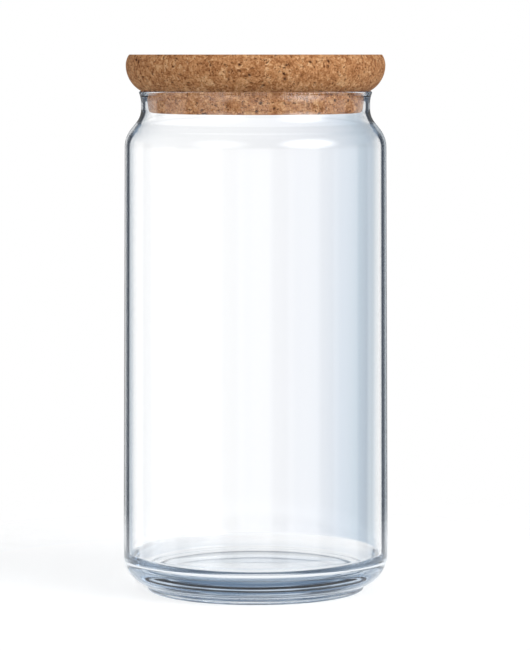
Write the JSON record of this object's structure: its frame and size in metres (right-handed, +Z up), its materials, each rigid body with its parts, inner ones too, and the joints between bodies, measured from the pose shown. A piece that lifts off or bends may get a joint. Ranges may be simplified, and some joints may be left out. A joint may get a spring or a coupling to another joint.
{
  "type": "glass storage jar with cork lid",
  "caption": "Tall round storage jar of clear glass with a rounded shoulder, a short neck, a raised foot ring and a thick lift-off cork lid whose tapered plug sits in the neck.",
  "frame": {"origin": "middle of the foot, on the table that the jar stands on", "axes": "+Z up along the jar's axis, through the lid; X and Y are free, because the object is round"},
  "size_m": [0.1072, 0.1072, 0.2166],
  "materials": {
    "clear_glass": "clear moulded soda-lime glass, fire-polished, with a faint blue-grey cast in thick places",
    "cork": "sanded agglomerated cork with open pores, uncoated"
  },
  "bodies": {
    "jar": {"jar": "clear_glass"},
    "lid": {"cork_lid": "cork"}
  },
  "joints": [
    {"name": "lid_lift", "type": "slide", "parent": "jar", "child": "lid", "axis": [0, 0, 1], "range_m": [0, 0.12]}
  ]
}
